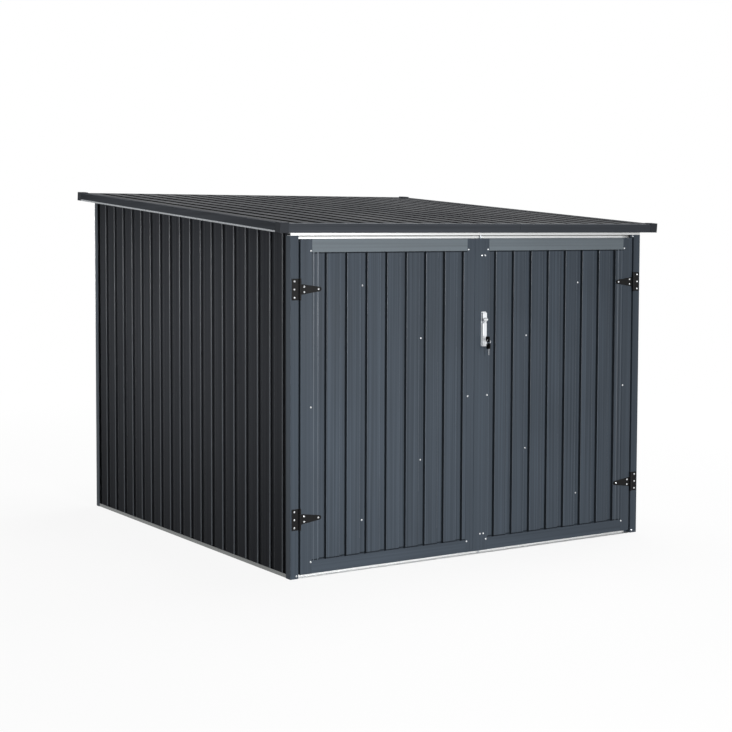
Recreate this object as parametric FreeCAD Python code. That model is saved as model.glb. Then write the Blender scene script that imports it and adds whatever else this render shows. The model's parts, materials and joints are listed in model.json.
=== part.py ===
import FreeCAD, Part
import math
import os

from FreeCAD import Rotation, Vector

# Bicycle locker of folded and ribbed sheet steel: four corner posts, ribbed walls, a roof that
# falls to the front, and a pair of front doors. The right door has a swing handle that draws two
# rods out of the frame through a cam with spiral slots. Millimetres. X runs to the right, Y to the
# back and Z up. The origin is on the ground, in the middle of the four ground anchor holes.

# Driving sizes of the locker
width = 1830.0
depth = 1845.0
roof_fall_deg = 4.65
roof_side_overhang = 66.6
roof_front_overhang = 35.5
roof_back_overhang = 48.5

# Sheet thicknesses and the gap left where a piece drops in beside another
frame_sheet = 1.2
rib_sheet = 0.6
door_frame_sheet = 1.0
trim_sheet = 1.0
seat_gap = 0.2

# Ribbed sheet: flat raised boards with sunk grooves between them
rib_pitch = 96.3
groove_opening = 34.0
groove_floor = 28.0
groove_depth = 11.5
side_first_groove = 65.0
side_rib_pitch = 97.4
back_first_groove = 61.0
roof_rib_pitch = 98.2
roof_first_groove = 95.0

# Corner posts
post_face = 37.0
post_side = 33.0
jamb_lip = 15.0
post_screw_inset = 28.0
foot_screw_z = 11.0
head_screw_drop = 5.5
head_screw_inset = 44.5
head_tab_width = 22.0
head_tab_height = 11.0

# Rails of the frame
base_lip = 16.0
base_inner_flange = 40.0
top_rail_height = 36.6
top_flange = 30.0
side_rail_lip = 28.0
side_rail_inner_flange = 45.0
mid_rail_height = 40.0
mid_rail_depth = 22.0
mid_rail_rise = 19.0
stop_lip = 30.0
purlin_height = 30.0
purlin_width = 40.0
purlin_inset = 600.0

# Roof trim and its corner caps
trim_height = 36.7
trim_top_flange = 26.0
trim_bottom_flange = 18.0
cap_length = 38.0
cap_wall = 1.4
cap_rise = 4.0
trim_seam = 0.8
trim_seam_x = 195.0

# Ground anchor holes in the side base rails
anchor_hole_radius = 4.25
anchor_spacing_y = 1400.0
anchor_inset = 23.0

# Doors
door_bottom = 14.0
door_height = 1314.0
door_head_gap = 13.0
door_depth = 25.0
door_side_gap = 9.0
door_centre_gap = 6.0
stile_width = 53.0
rail_width = 51.5
back_flange = 13.0
sheet_overlap = 11.0
left_first_groove = 87.4
right_first_groove = 60.0
jamb_clearance = 0.5
brace_width = 24.0
brace_thickness = 1.5
brace_corner_drop = 18.0
brace_corner_inset = 77.0
brace_middle_inset = 47.0
brace_middle_gap = 144.0
brace_screw_grooves_left = (2, 5)
brace_screw_grooves_right = (2, 5)

# Cover strip on the right door, which laps the left door
lip_overlap = 17.0
lip_clearance = 0.2
cover_strip_sheet = 1.4
strip_past_stile = 2.0

# Strap hinges
hinge_high_inset = 195.0
hinge_low_inset = 220.0
hinge_plate = 2.0
hinge_pin_radius = 2.4
hinge_bore_wall = 2.2
hinge_running_fit = 0.05
leaf_height = 84.0
leaf_width = 36.0
leaf_hole_pitch = 31.5
leaf_screw_reach = 24.4
strap_length = 100.0
strap_root = 41.0
strap_tip = 18.0
strap_screw_pitch = 21.0
strap_screw_reach = 20.0
strap_tip_screw = 14.0
knuckle_gap = 0.6
pin_head_height = 1.2

# Screws
screw_head_radius = 4.2
screw_head_height = 2.4
screw_radius = 2.0
screw_bite = 4.0
screw_fit = 0.1
skin_screw_inset = 5.5
skin_screw_end = 46.0

# Swing handle on the right door
handle_x = 28.0
handle_height = 993.0
plate_width = 25.0
plate_length = 145.0
plate_thickness = 3.0
plate_end_margin = 15.0
plate_corner_radius = 4.0
hub_side = 22.0
hub_height = 9.5
hub_gap = 0.2
hub_edge_radius = 2.0
spindle_radius = 6.0
spindle_side = 7.0
spindle_fit = 0.06
spindle_room = 0.5
stud_radius = 2.5
stud_length = 8.0
stud_inset = 9.0
nut_radius = 4.6
nut_height = 4.0
lever_width = 21.5
lever_thickness = 9.0
lever_clearance = 0.5
lever_edge_radius = 2.5
lever_pivot_drop = 18.0
lever_pivot_rise = 10.0
lever_knuckle_radius = 6.5
lever_knuckle_width = 10.5
lever_pin_radius = 2.0
lever_side_gap = 0.3
ear_radius = 5.5
neck_drop = 14.0
neck_root = 8.0

# Lock in the lever, its key, and the spare key on a ring
lock_rise = 31.0
lock_radius = 5.5
lock_fit = 0.06
lock_proud = 0.7
lock_floor = 2.5
keyway_depth = 6.0
key_blade_width = 7.0
key_blade_thickness = 2.0
key_blade_show = 8.0
key_bow_length = 21.0
key_bow_width = 24.0
key_bow_thickness = 6.0
bow_corner_radius = 6.0
key_hole_radius = 2.6
key_hole_inset = 6.0
ring_radius = 10.0
ring_wire_radius = 0.9
ring_rest_gap = 0.1
spare_blade_length = 26.0
key_teeth = 4
key_tooth_depth = 1.6

# Rods and the cam that draws them
rod_radius = 4.0
rod_fit = 0.08
rod_throw = 9.0
rod_end_gap = 0.6
keeper_radius = 5.0
cam_thickness = 3.0
cam_front = 14.0
cam_wall = 2.5
cam_inner_radius = 9.0
cam_pin_radius = 2.2
cam_slot_fit = 0.1
slot_steps = 6
tang_gap = 0.3
tang_thickness = 2.5
tang_width = 10.0
tang_past_pin = 5.0
guide_half_width = 11.5
guide_height = 14.0
guide_depth = 28.0
guide_inset = 71.0
guide_screw_offset = 8.5

# Places worked out from the driving sizes
half_width = width / 2
half_depth = depth / 2
front = -half_depth
fall = math.radians(roof_fall_deg)
frame_inner_x = half_width - frame_sheet
sheet_face_x = frame_inner_x - frame_sheet
sheet_build = groove_depth + rib_sheet
sheet_inner_x = sheet_face_x - sheet_build
back_inner_y = half_depth - 2 * frame_sheet - sheet_build
back_rail_inner_y = back_inner_y - frame_sheet
base_inner_x = half_width - post_face + frame_sheet + seat_gap
stop_depth = door_depth + jamb_clearance
roof_half_width = half_width + roof_side_overhang
roof_low = -roof_front_overhang
roof_high = depth / math.cos(fall) + roof_back_overhang
door_left = half_width - post_face - door_side_gap
door_edge = door_centre_gap / 2
door_width = door_left - door_edge
door_top = door_bottom + door_height
door_middle_z = (door_bottom + door_top) / 2
post_height = door_top + door_head_gap
mid_rail_z = door_middle_z + mid_rail_rise
hinge_high_z = door_top - hinge_high_inset
hinge_low_z = door_bottom + hinge_low_inset
spindle_z = door_bottom + handle_height
groove_face = front + door_frame_sheet + groove_depth
hinge_x = half_width - post_face - door_side_gap / 2
knuckle_radius = hinge_pin_radius + hinge_bore_wall
strip_front = front - cover_strip_sheet
plate_front = strip_front - plate_thickness
pivot_z = spindle_z - lever_pivot_drop
plate_low = spindle_z + plate_end_margin - plate_length
stud_heights = (plate_low + stud_inset, pivot_z)
lock_z = plate_low + lock_rise
lock_face = lever_clearance + lever_thickness + lock_proud
bow_near = lock_face + key_blade_show
bow_sag = ring_radius - math.sqrt(ring_radius ** 2 - (key_bow_thickness / 2) ** 2)
wire_drop = key_hole_radius - ring_wire_radius - ring_rest_gap - bow_sag
ring_y = plate_front - bow_near - key_bow_length + key_hole_inset
ring_z = lock_z - wire_drop - ring_radius
spare_hole_z = ring_z - ring_radius - wire_drop
cam_back = cam_front + cam_thickness
cam_outer_radius = cam_inner_radius + rod_throw
cam_radius = cam_outer_radius + cam_pin_radius + cam_slot_fit + cam_wall
rod_y = front + cam_back + tang_gap + tang_thickness / 2


def roof_z(y):
    """Height of the plane that carries the roof sheet, at a depth y."""
    return post_height + top_rail_height + (y - front) * math.tan(fall)


def save(shape, name):
    """Writes one named piece as a STEP file."""
    shape.exportStep("parts/" + name + ".step")


def box(x0, y0, z0, x1, y1, z1):
    """Block between two opposite corners."""
    return Part.makeBox(x1 - x0, y1 - y0, z1 - z0, Vector(x0, y0, z0))


def mirrored(shape):
    """The same piece on the other side of the locker's middle."""
    return shape.mirror(Vector(0, 0, 0), Vector(1, 0, 0))


def joined(shapes):
    """One solid from pieces that share faces or volume."""
    result = shapes[0]
    for shape in shapes[1:]:
        result = result.fuse(shape)
    return result.removeSplitter()


def group(shapes):
    """Separate solids kept in one piece."""
    return Part.makeCompound(shapes)


def extruded(points, along):
    """Prism on a closed outline."""
    wire = Part.makePolygon(points + [points[0]])
    return Part.Face(wire).extrude(along)


def bent_outline(path, thickness):
    """Outline of a folded sheet: the path, then back along it one thickness to its left."""
    normals = []
    for (ax, ay), (bx, by) in zip(path, path[1:]):
        length = math.hypot(bx - ax, by - ay)
        normals.append((-(by - ay) / length, (bx - ax) / length))
    inner = []
    for i, (px, py) in enumerate(path):
        before = normals[max(i - 1, 0)]
        after = normals[min(i, len(normals) - 1)]
        share = 1 + before[0] * after[0] + before[1] * after[1]
        nx = (before[0] + after[0]) / share
        ny = (before[1] + after[1]) / share
        inner.append((px + nx * thickness, py + ny * thickness))
    return path + inner[::-1]


def folded(path, thickness, place, along):
    """Folded sheet: a path in its own plane, placed in space and swept straight."""
    return extruded([place(u, w) for u, w in bent_outline(path, thickness)], along)


def ribbed_path(length, first_groove, pitch):
    """Section of the ribbed sheet: u runs across the boards, w is 0 on the boards' faces."""
    slope = (groove_opening - groove_floor) / 2
    path = [(0.0, 0.0)]
    start = first_groove
    while start + groove_opening < length - rib_sheet:
        if start > rib_sheet:
            path.append((start, 0.0))
            path.append((start + slope, -groove_depth))
            path.append((start + slope + groove_floor, -groove_depth))
            path.append((start + groove_opening, 0.0))
        start += pitch
    path.append((length, 0.0))
    return path


def hole_y(x, z, radius, y0, y1):
    """Cutter for a round hole along Y."""
    return Part.makeCylinder(radius, y1 - y0, Vector(x, y0, z), Vector(0, 1, 0))


def hole_z(x, y, radius, z0, z1):
    """Cutter for a round hole along Z."""
    return Part.makeCylinder(radius, z1 - z0, Vector(x, y, z0), Vector(0, 0, 1))


def screw(x, z, y):
    """Pan-head screw whose head sits on a face at y and whose shank goes towards the back."""
    head = Part.makeCone(screw_head_radius, screw_head_radius * 0.6, screw_head_height,
                         Vector(x, y, z), Vector(0, -1, 0))
    shank = Part.makeCylinder(screw_radius, screw_bite, Vector(x, y, z), Vector(0, 1, 0))
    return head.fuse(shank).removeSplitter()


def drilled(shape, screws, y):
    """Cuts the holes that the screws at a face y pass through."""
    for x, z in screws:
        shape = shape.cut(hole_y(x, z, screw_radius + screw_fit, y - 1, y + screw_bite))
    return shape


def cut_by_roof(shape, drop):
    """Cuts off what stands above the roof's seat less a drop."""
    y0 = 2 * front
    y1 = 2 * half_depth
    top = roof_z(y1) + post_height
    low = [Vector(-width, y0, roof_z(y0) - drop), Vector(-width, y1, roof_z(y1) - drop)]
    high = [Vector(-width, y1, top), Vector(-width, y0, top)]
    return shape.cut(extruded(low + high, Vector(2 * width, 0, 0)))


# Frame: posts, rails and walls

def front_post(side):
    """Front post: side, face, door jamb and stop lip; the right one has a tab at its head."""
    path = [
        (-half_width, front + post_side),
        (-half_width, front),
        (-half_width + post_face, front),
        (-half_width + post_face, front + stop_depth),
        (-half_width + post_face + jamb_lip, front + stop_depth),
    ]
    post = folded(path, frame_sheet, lambda u, w: Vector(u, w, 0), Vector(0, 0, post_height))
    jamb = -half_width + post_face
    post = post.cut(box(jamb, front + stop_depth - 1, post_height - stop_lip - seat_gap,
                        jamb + jamb_lip + 1, front + stop_depth + frame_sheet + 1,
                        post_height + 1))
    if side > 0:
        tab = box(jamb - frame_sheet, front, post_height - head_tab_height,
                  jamb + head_tab_width, front + frame_sheet, post_height)
        post = mirrored(joined([post, tab]))
    return drilled(post, leaf_screw_places(side) + post_screw_places(side), front)


def back_post():
    """Left back post, an angle that the back rail stands on."""
    path = [
        (-half_width + post_face, half_depth),
        (-half_width, half_depth),
        (-half_width, half_depth - post_side),
    ]
    height = roof_z(half_depth) - top_rail_height
    return folded(path, frame_sheet, lambda u, w: Vector(u, w, 0), Vector(0, 0, height))


def side_base_rail():
    """Left base rail, a channel that the wall sheet stands in, with its anchor holes."""
    path = [
        (-frame_inner_x, base_lip),
        (-frame_inner_x, 0),
        (-base_inner_x, 0),
        (-base_inner_x, base_inner_flange),
    ]
    start = front + frame_sheet
    rail = folded(path, frame_sheet, lambda u, w: Vector(u, start, w),
                  Vector(0, depth - 2 * frame_sheet, 0))
    for y in (-anchor_spacing_y / 2, anchor_spacing_y / 2):
        rail = rail.cut(hole_z(-half_width + anchor_inset, y, anchor_hole_radius, -1, 5))
    return rail


def back_base_rail():
    """Back base rail, a channel between the side rails."""
    outer = half_depth - frame_sheet
    inner = half_depth - half_width + base_inner_x
    path = [(outer, base_lip), (outer, 0), (inner, 0), (inner, base_inner_flange)]
    return folded(path, -frame_sheet, lambda u, w: Vector(-base_inner_x, u, w),
                  Vector(2 * base_inner_x, 0, 0))


def threshold():
    """Sill under the doors: a flange on the ground with the rod's keeper hole, and a stop."""
    end = half_width - post_face
    back = front + stop_depth + frame_sheet
    path = [(front, 0), (back, 0), (back, stop_lip)]
    sill = folded(path, frame_sheet, lambda u, w: Vector(-end, u, w), Vector(2 * end, 0, 0))
    sill = sill.cut(front_post(-1)).cut(front_post(1))
    return sill.cut(hole_z(handle_x, rod_y, keeper_radius, -1, 5))


def front_top_rail():
    """Rail over the doors: a seat for the roof, a face, the rods' keeper web and the door stop."""
    seat = front + top_flange
    path = [
        (seat, roof_z(seat)),
        (front, roof_z(front)),
        (front, post_height),
        (front + stop_depth, post_height),
        (front + stop_depth, post_height - stop_lip),
    ]
    rail = folded(path, frame_sheet, lambda u, w: Vector(-frame_inner_x, u, w),
                  Vector(2 * frame_inner_x, 0, 0))
    rail = rail.cut(front_post(-1)).cut(front_post(1))
    return rail.cut(hole_z(handle_x, rod_y, keeper_radius, post_height - 1, post_height + 5))


def back_top_rail():
    """Channel over the back wall, open downwards, with its top on the roof's fall."""
    path = [
        (half_depth, roof_z(half_depth) - top_rail_height),
        (half_depth, roof_z(half_depth)),
        (back_rail_inner_y, roof_z(back_rail_inner_y)),
        (back_rail_inner_y, roof_z(back_rail_inner_y) - side_rail_inner_flange),
    ]
    return folded(path, frame_sheet, lambda u, w: Vector(-frame_inner_x, u, w),
                  Vector(2 * frame_inner_x, 0, 0))


def side_top_rail():
    """Left top rail, a channel over the wall sheet; only its lip laps the front and back rails."""
    inner = sheet_inner_x - frame_sheet
    top = roof_z(front)
    path = [
        (-half_width, top - side_rail_lip),
        (-half_width, top),
        (-inner, top),
        (-inner, top - side_rail_inner_flange),
    ]
    rail = folded(path, -frame_sheet, lambda u, w: Vector(u, front, w),
                  Vector(0, depth, depth * math.tan(fall)))
    for y0, y1 in ((front - 1, front + post_side), (back_rail_inner_y, half_depth + 1)):
        rail = rail.cut(box(-frame_inner_x, y0, 0, -inner + 1, y1, 2 * post_height))
    return rail


def side_sheet():
    """Left wall sheet, boards facing out, its top on the roof's fall, notched at the corners."""
    start = front + frame_sheet + seat_gap
    length = depth - 2 * (frame_sheet + seat_gap)
    first = side_first_groove - groove_opening - frame_sheet - seat_gap
    path = ribbed_path(length, first, side_rib_pitch)
    sheet = folded(path, -rib_sheet, lambda u, w: Vector(-sheet_face_x - w, start + u, frame_sheet),
                   Vector(0, 0, roof_z(half_depth)))
    sheet = cut_by_roof(sheet, frame_sheet + seat_gap)
    return sheet.cut(front_top_rail()).cut(back_top_rail())


def back_sheet():
    """Back wall sheet between the side sheets, notched for the side rails' flanges."""
    end = sheet_inner_x - frame_sheet - seat_gap
    face = half_depth - 2 * frame_sheet
    height = roof_z(face - sheet_build) - 2 * frame_sheet - seat_gap
    path = ribbed_path(2 * end, back_first_groove, rib_pitch)
    sheet = folded(path, -rib_sheet, lambda u, w: Vector(end - u, face + w, frame_sheet),
                   Vector(0, 0, height))
    rail = side_base_rail()
    return sheet.cut(rail).cut(mirrored(rail))


def side_mid_rail():
    """Left girt half way up, a channel screwed to the groove floors."""
    tip = -sheet_inner_x + mid_rail_depth
    top = mid_rail_z + mid_rail_height
    path = [(tip, mid_rail_z), (-sheet_inner_x, mid_rail_z), (-sheet_inner_x, top), (tip, top)]
    start = front + stop_depth + frame_sheet + seat_gap
    return folded(path, -frame_sheet, lambda u, w: Vector(u, start, w),
                  Vector(0, back_inner_y - start, 0))


def back_mid_rail():
    """Back girt between the side girts."""
    tip = back_inner_y - mid_rail_depth
    top = mid_rail_z + mid_rail_height
    end = sheet_inner_x - mid_rail_depth - seat_gap
    path = [(tip, mid_rail_z), (back_inner_y, mid_rail_z), (back_inner_y, top), (tip, top)]
    return folded(path, frame_sheet, lambda u, w: Vector(-end, u, w), Vector(2 * end, 0, 0))


def post_screw_places(side):
    """A screw at the foot of each front post, and one at the head of the right post."""
    x = side * (half_width - post_screw_inset)
    places = [(x, foot_screw_z)]
    if side > 0:
        places.append((half_width - head_screw_inset, post_height - head_screw_drop))
    return places


def frame_screws():
    """Screws in the front posts: at their ends, and in the leaves of the hinges."""
    heads = []
    for side in (-1, 1):
        heads += [screw(x, z, front) for x, z in post_screw_places(side)]
        heads += [screw(x, z, front - hinge_plate) for x, z in leaf_screw_places(side)]
    return group(heads)


# Roof, modelled flat and then laid on the roof's fall

def on_roof(shape):
    """Lays a flat roof piece on the frame: X across, Y up the fall, Z off the sheet."""
    shape.rotate(Vector(0, 0, 0), Vector(1, 0, 0), roof_fall_deg)
    shape.translate(Vector(0, front, roof_z(front)))
    return shape


def roof_sheet():
    """Ribbed roof sheet with its boards uppermost."""
    end = roof_half_width - trim_sheet - seat_gap
    start = roof_low + trim_sheet + seat_gap
    path = ribbed_path(2 * end, roof_first_groove, roof_rib_pitch)
    sheet = folded(path, -rib_sheet, lambda u, w: Vector(u - end, start, w + sheet_build),
                   Vector(0, roof_high - roof_low - 2 * (trim_sheet + seat_gap), 0))
    return on_roof(sheet)


def cross_trim(low_edge):
    """Channel along the front or back edge of the roof, flat."""
    edge, inward = (roof_low, 1) if low_edge else (roof_high, -1)
    top = sheet_build + trim_sheet
    path = [
        (edge + inward * trim_top_flange, top),
        (edge, top),
        (edge, top - trim_height),
        (edge + inward * trim_bottom_flange, top - trim_height),
    ]
    return folded(path, inward * trim_sheet, lambda u, w: Vector(-roof_half_width, u, w),
                  Vector(2 * roof_half_width, 0, 0))


def front_trim():
    """Front trim in two lengths that meet at a seam."""
    trim = cross_trim(True)
    seam = box(trim_seam_x - trim_seam / 2, roof_low - 1, -trim_height,
               trim_seam_x + trim_seam / 2, roof_low + post_side, trim_height)
    return on_roof(trim.cut(seam))


def back_trim():
    """Back trim in one length."""
    return on_roof(cross_trim(False))


def side_trim():
    """Left trim, cut to fit between the front and back trims."""
    top = sheet_build + trim_sheet
    path = [
        (-roof_half_width + trim_top_flange, top),
        (-roof_half_width, top),
        (-roof_half_width, top - trim_height),
        (-roof_half_width + trim_bottom_flange, top - trim_height),
    ]
    trim = folded(path, trim_sheet, lambda u, w: Vector(u, roof_low, w),
                  Vector(0, roof_high - roof_low, 0))
    return on_roof(trim.cut(cross_trim(True)).cut(cross_trim(False)))


def corner_caps():
    """Four caps over the corners of the trim."""
    top = sheet_build + trim_sheet
    low = top - trim_height
    outer = box(-roof_half_width - cap_wall, roof_low - cap_wall, low,
                -roof_half_width + cap_length, roof_low + cap_length, top + cap_rise)
    inner = box(-roof_half_width, roof_low, low - 1,
                -roof_half_width + cap_length + 1, roof_low + cap_length + 1, top)
    cap = outer.cut(inner)
    middle = Vector(0, (roof_low + roof_high) / 2, 0)
    far_cap = cap.mirror(middle, Vector(0, 1, 0))
    return group([on_roof(c) for c in (cap, mirrored(cap), far_cap, mirrored(far_cap))])


def purlins():
    """Two channels across the locker under the roof sheet."""
    end = sheet_inner_x - frame_sheet
    bars = []
    for y in (front + purlin_inset, half_depth - purlin_inset):
        far = y + purlin_width
        path = [
            (y, roof_z(y) - purlin_height),
            (y, roof_z(y)),
            (far, roof_z(far)),
            (far, roof_z(far) - purlin_height),
        ]
        bars.append(folded(path, -frame_sheet, lambda u, w: Vector(-end, u, w),
                           Vector(2 * end, 0, 0)))
    return group(bars)


# Doors, each frame member a folded channel

def upright(edge, inward):
    """Door stile: a channel whose web is at an edge and whose flange covers the sheet's edge."""
    path = [
        (edge + inward * back_flange, front + door_depth),
        (edge, front + door_depth),
        (edge, front),
        (edge + inward * stile_width, front),
    ]
    return folded(path, inward * door_frame_sheet, lambda u, w: Vector(u, w, door_bottom),
                  Vector(0, 0, door_height))


def hinge_stile(side):
    """Stile on the hinge side, drilled for the hinge straps' and the sheet's screws."""
    places = strap_screw_places(side) + skin_screw_places(side)
    return drilled(upright(side * door_left, -side), places, front)


def meeting_stile(side):
    """Stile in the middle of the locker; the right one is bored for the handle's spindle."""
    stile = drilled(upright(side * door_edge, side), skin_screw_places(side), front)
    if side > 0:
        stile = drilled(stile, guide_screw_places(), front)
        stile = with_handle_holes(stile)
    return stile


def cross_rail(side, top):
    """Top or bottom rail of a door, notched round the stiles, open to the rods."""
    if top:
        edge, inward = door_top, -1
    else:
        edge, inward = door_bottom, 1
    path = [
        (front, edge + inward * rail_width),
        (front, edge),
        (front + door_depth, edge),
        (front + door_depth, edge + inward * back_flange),
    ]
    inner = door_edge + door_frame_sheet
    length = door_width - 2 * door_frame_sheet
    rail = folded(path, inward * door_frame_sheet, lambda u, w: Vector(inner, u, w),
                  Vector(length, 0, 0))
    rail = rail.cut(upright(door_left, -1)).cut(upright(door_edge, 1))
    if side < 0:
        return mirrored(rail)
    return rail.cut(hole_z(handle_x, rod_y, keeper_radius, edge - 5, edge + 5))


def door_sheet(side):
    """Ribbed sheet of a door, held behind the frame's front flanges."""
    inner = door_edge + stile_width - sheet_overlap
    outer = door_left - stile_width + sheet_overlap
    if side > 0:
        left = inner
        first = right_first_groove - stile_width + sheet_overlap
    else:
        left = -outer
        first = left_first_groove - stile_width + sheet_overlap
    face = front + door_frame_sheet
    low = door_bottom + door_frame_sheet
    path = ribbed_path(outer - inner, first, rib_pitch)
    sheet = folded(path, -rib_sheet, lambda u, w: Vector(left + u, face - w, low),
                   Vector(0, 0, door_height - 2 * door_frame_sheet))
    sheet = drilled(sheet, skin_screw_places(side) + strap_screw_places(side), front)
    return drilled(sheet, brace_screw_places(side), groove_face)


def brace_line(side, up):
    """Ends of a brace: the hinge side's corner and the middle of the meeting stile."""
    corner_z = door_top - brace_corner_drop if up > 0 else door_bottom + brace_corner_drop
    middle_z = door_middle_z + up * brace_middle_gap / 2
    corner_x = side * (door_left - brace_corner_inset)
    return corner_x, corner_z, side * (door_edge + brace_middle_inset), middle_z


def braces(side):
    """Two flat bars behind the sheet, from the hinge side's corners to the meeting stile."""
    bars = []
    for up in (-1, 1):
        x0, z0, x1, z1 = brace_line(side, up)
        length = math.hypot(x1 - x0, z1 - z0)
        nx = -(z1 - z0) / length * brace_width / 2
        nz = (x1 - x0) / length * brace_width / 2
        y = groove_face + rib_sheet
        corners = [(x0 + nx, z0 + nz), (x1 + nx, z1 + nz), (x1 - nx, z1 - nz), (x0 - nx, z0 - nz)]
        bar = extruded([Vector(x, y, z) for x, z in corners], Vector(0, brace_thickness, 0))
        bars.append(drilled(bar, brace_screw_places(side), groove_face))
    return group(bars)


def brace_screw_places(side):
    """Two screws along each brace, in the middle of the grooves that they sit in."""
    places = []
    if side > 0:
        first = door_edge + right_first_groove + groove_opening / 2
    else:
        first = -door_left + left_first_groove + groove_opening / 2
    for up in (-1, 1):
        x0, z0, x1, z1 = brace_line(side, up)
        for groove in (brace_screw_grooves_right if side > 0 else brace_screw_grooves_left):
            x = first + groove * rib_pitch
            places.append((x, z0 + (x - x0) / (x1 - x0) * (z1 - z0)))
    return places


def skin_screw_places(side):
    """Screws through the stiles' flanges into the sheet's edges."""
    inner = side * (door_edge + stile_width - skin_screw_inset)
    outer = side * (door_left - stile_width + skin_screw_inset)
    heights = (door_bottom + skin_screw_end, door_middle_z, door_top - skin_screw_end)
    return [(x, z) for x in (inner, outer) for z in heights]


def guide_screw_places():
    """Screws that hold the rod guides on the right door."""
    heights = (door_bottom + guide_inset, door_top - guide_inset)
    return [(handle_x + offset, z) for z in heights
            for offset in (-guide_screw_offset, guide_screw_offset)]


def door_screws(side):
    """Screws of a door's sheet, braces and straps, and on the right door of the rod guides."""
    inner = side * (door_edge + stile_width - skin_screw_inset)
    heads = []
    for x, z in skin_screw_places(side):
        on_strip = side > 0 and abs(x - inner) < 1
        heads.append(screw(x, z, strip_front if on_strip else front))
    heads += [screw(x, z, groove_face) for x, z in brace_screw_places(side)]
    heads += [screw(x, z, front - hinge_plate) for x, z in strap_screw_places(side)]
    if side > 0:
        heads += [screw(x, z, strip_front) for x, z in guide_screw_places()]
    return group(heads)


def cover_strip():
    """Strip on the right door's meeting stile, joggled clear of the left door that it laps."""
    lap = -lip_overlap
    end = door_edge + stile_width + strip_past_stile
    outline = [
        (lap, strip_front), (end, strip_front), (end, front), (door_edge, front),
        (door_edge - lip_clearance, front - lip_clearance), (lap, front - lip_clearance),
    ]
    strip = extruded([Vector(x, y, door_bottom) for x, y in outline], Vector(0, 0, door_height))
    places = [p for p in skin_screw_places(1) if p[0] < door_left / 2]
    strip = drilled(strip, places + guide_screw_places(), strip_front)
    return with_handle_holes(strip)


# Strap hinges

def barrel_section(reach, bore, z0, z1):
    """Rolled end of a hinge plate: a barrel round the pin that runs out into the plate."""
    r = knuckle_radius
    front_x = math.sqrt(r * r - (r - hinge_plate) ** 2)
    start = Vector(0, 0, z0)
    turn = Part.Arc(start, Vector(-r, -r, z0), Vector(0, -2 * r, z0)).toShape()
    back = Part.Arc(Vector(0, -2 * r, z0), Vector(r * math.cos(0.4), -r - r * math.sin(0.4), z0),
                    Vector(front_x, -hinge_plate, z0)).toShape()
    face_line = Part.makeLine(Vector(front_x, -hinge_plate, z0), Vector(reach, -hinge_plate, z0))
    end_line = Part.makeLine(Vector(reach, -hinge_plate, z0), Vector(reach, 0, z0))
    back_line = Part.makeLine(Vector(reach, 0, z0), start)
    outline = Part.Face(Part.Wire([turn, back, face_line, end_line, back_line]))
    solid = outline.extrude(Vector(0, 0, z1 - z0))
    return solid.cut(Part.makeCylinder(bore, z1 - z0, Vector(0, -r, z0)))


def hinge_leaf():
    """Leaf for the post, with its plate towards +X and the pin's axis over X 0."""
    half = leaf_height / 2
    inner = strap_root / 2 + knuckle_gap
    low = barrel_section(leaf_width, hinge_pin_radius, -half, -inner)
    high = barrel_section(leaf_width, hinge_pin_radius, inner, half)
    plate = box(knuckle_radius + knuckle_gap, -hinge_plate, -inner, leaf_width, 0, inner)
    return joined([low, plate, high])


def hinge_strap():
    """Strap for the door, with its plate towards +X, narrowing to a rounded tip."""
    half = strap_root / 2
    root = barrel_section(knuckle_radius + hinge_plate, hinge_pin_radius + hinge_running_fit,
                          -half, half)
    tip = strap_tip / 2
    centre = strap_length - tip
    corners = [(knuckle_radius + hinge_plate, -half), (centre, -tip)]
    lines = [
        Part.makeLine(Vector(corners[0][0], -hinge_plate, -half), Vector(centre, -hinge_plate, -tip)),
        Part.Arc(Vector(centre, -hinge_plate, -tip), Vector(strap_length, -hinge_plate, 0),
                 Vector(centre, -hinge_plate, tip)).toShape(),
        Part.makeLine(Vector(centre, -hinge_plate, tip), Vector(corners[0][0], -hinge_plate, half)),
        Part.makeLine(Vector(corners[0][0], -hinge_plate, half),
                      Vector(corners[0][0], -hinge_plate, -half)),
    ]
    plate = Part.Face(Part.Wire(lines)).extrude(Vector(0, hinge_plate, 0))
    return joined([root, plate])


def hinge_pin():
    """Pin with a flat head at each end."""
    half = leaf_height / 2
    pin = Part.makeCylinder(hinge_pin_radius, leaf_height, Vector(0, -knuckle_radius, -half))
    heads = [
        Part.makeCylinder(hinge_pin_radius + 1, pin_head_height,
                          Vector(0, -knuckle_radius, z)) for z in (-half - pin_head_height, half)
    ]
    return joined([heads[0], pin, heads[1]])


def hinge_place(shape, side, outward, z):
    """Puts a hinge piece on its axis; an outward piece has its plate towards the post."""
    if side * (1 if outward else -1) < 0:
        shape = mirrored(shape)
    shape.translate(Vector(side * hinge_x, front, z))
    return shape


def leaf_screw_places(side):
    """Three screws in each leaf of one post."""
    return [(side * (hinge_x + leaf_screw_reach), z + offset)
            for z in (hinge_low_z, hinge_high_z)
            for offset in (-leaf_hole_pitch, 0, leaf_hole_pitch)]


def strap_screw_places(side):
    """Two screws at each strap's root and one at its tip."""
    places = []
    for z in (hinge_low_z, hinge_high_z):
        for offset in (-strap_screw_pitch / 2, strap_screw_pitch / 2):
            places.append((side * (hinge_x - strap_screw_reach), z + offset))
        places.append((side * (hinge_x - strap_length + strap_tip_screw), z))
    return places


def hinge_leaves():
    """The four leaves on the front posts."""
    leaves = []
    for side in (-1, 1):
        for z in (hinge_low_z, hinge_high_z):
            leaf = hinge_place(hinge_leaf(), side, True, z)
            leaves.append(drilled(leaf, leaf_screw_places(side), front - hinge_plate))
    return group(leaves)


def hinge_straps(side):
    """Both straps of one door."""
    straps = [hinge_place(hinge_strap(), side, False, z) for z in (hinge_low_z, hinge_high_z)]
    return group([drilled(s, strap_screw_places(side), front - hinge_plate) for s in straps])


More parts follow.
